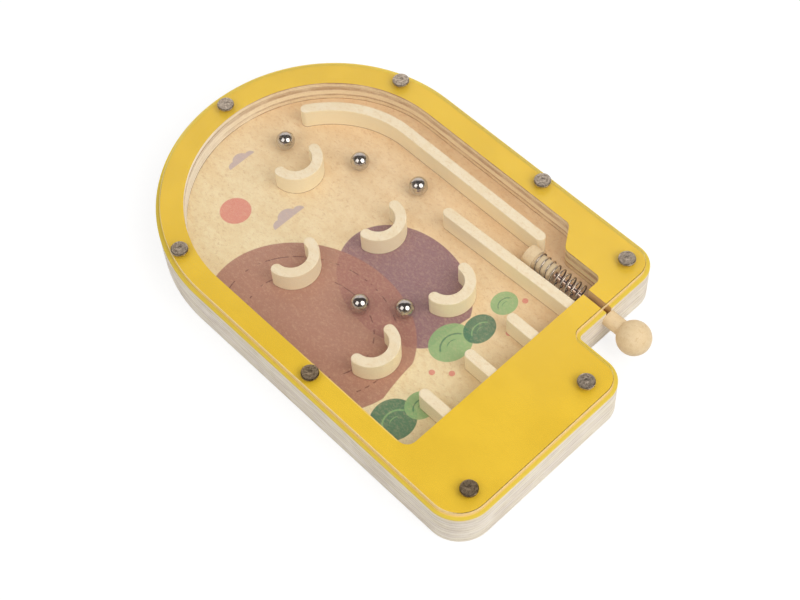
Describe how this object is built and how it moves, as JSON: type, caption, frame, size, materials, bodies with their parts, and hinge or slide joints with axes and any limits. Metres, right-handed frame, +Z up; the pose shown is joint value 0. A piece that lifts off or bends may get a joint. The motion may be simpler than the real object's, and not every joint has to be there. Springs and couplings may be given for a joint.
{
  "type": "tabletop pinball game",
  "caption": "Flat wooden pinball game with an arched rim under a clear riveted cover, round steel balls, half round scoring cups, dividers, a launch lane and a spring plunger with a ball knob.",
  "frame": {"origin": "middle of the bounding box, on the underside of the base board", "axes": "+Y along the board from the player towards the arch, +X to the player's right, where the plunger is, +Z up"},
  "size_m": [0.19, 0.295, 0.0293],
  "materials": {
    "playfield_wood": "pale plywood, printed playfield on top",
    "yellow_wood": "plywood with satin yellow paint on its top face",
    "clear_cover": "clear polished sheet",
    "rivet_metal": "dull dark metal",
    "guide_wood": "pale smooth plywood",
    "turned_wood": "turned pale hardwood",
    "steel": "bright drawn steel",
    "spring_steel": "bright spring wire",
    "ball_steel": "polished steel"
  },
  "bodies": {
    "board": {"base_board": "playfield_wood", "frame_ring": "yellow_wood", "cover_sheet": "clear_cover", "cover_rivets": "rivet_metal", "launch_rail": "guide_wood", "lane_wall": "guide_wood", "plunger_spring": "spring_steel", "divider_1": "guide_wood", "divider_2": "guide_wood", "divider_3": "guide_wood", "cup_1": "guide_wood", "cup_2": "guide_wood", "cup_3": "guide_wood", "cup_4": "guide_wood", "cup_5": "guide_wood"},
    "plunger": {"plunger_head": "turned_wood", "plunger_rod": "steel", "plunger_knob": "turned_wood"},
    "ball_1": {"ball_1": "ball_steel"},
    "ball_2": {"ball_2": "ball_steel"},
    "ball_3": {"ball_3": "ball_steel"},
    "ball_4": {"ball_4": "ball_steel"},
    "ball_5": {"ball_5": "ball_steel"}
  },
  "joints": [
    {"name": "plunger_slide", "type": "slide", "parent": "board", "child": "plunger", "axis": [0, 1, 0], "range_m": [-0.02, 0], "stiffness_N_per_m": 300, "springref_m": 0.005, "deforming": ["plunger_spring"]},
    {"name": "ball_1_roll", "type": "slide", "parent": "board", "child": "ball_1", "axis": [0, 1, 0], "range_m": [-0.011, 0.022]},
    {"name": "ball_2_roll", "type": "slide", "parent": "board", "child": "ball_2", "axis": [0, 1, 0], "range_m": [-0.028, 0.032]},
    {"name": "ball_3_roll", "type": "slide", "parent": "board", "child": "ball_3", "axis": [0, 1, 0], "range_m": [-0.018, 0.024]},
    {"name": "ball_4_roll", "type": "slide", "parent": "board", "child": "ball_4", "axis": [0, 1, 0], "range_m": [-0.016, 0.024]},
    {"name": "ball_5_roll", "type": "slide", "parent": "board", "child": "ball_5", "axis": [0, 1, 0], "range_m": [-0.036, 0.05]}
  ]
}
